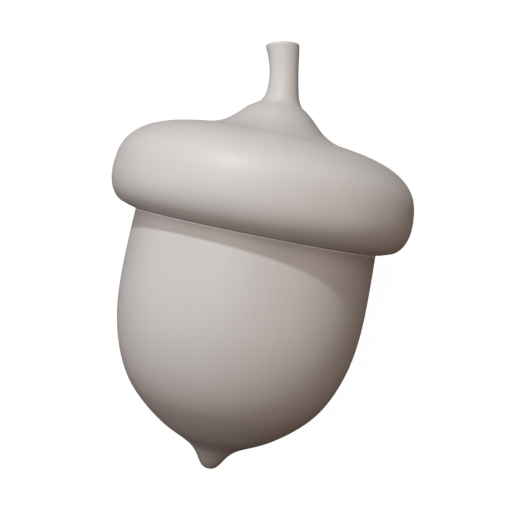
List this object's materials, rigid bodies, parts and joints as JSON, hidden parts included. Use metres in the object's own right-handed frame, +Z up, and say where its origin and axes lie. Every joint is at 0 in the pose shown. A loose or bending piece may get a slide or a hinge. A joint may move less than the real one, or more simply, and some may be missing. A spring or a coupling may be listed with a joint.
{
  "type": "acorn",
  "caption": "Smooth acorn lying on its side: a rounded nut with a short pointed tip, seated in a thick domed cup with a bent stalk.",
  "frame": {"origin": "centre of the acorn's box on the surface it lies on", "axes": "+Z up from the surface, +Y from the nut's tip towards the stalk, +X to the right of the acorn seen from above with its stalk away"},
  "size_m": [0.0268, 0.0378, 0.0264],
  "materials": {
    "nut_shell": "smooth satin, pale warm grey",
    "cup_wood": "smooth soft satin, pale warm grey"
  },
  "bodies": {
    "root": {"nut": "nut_shell", "cup": "cup_wood"}
  },
  "joints": []
}
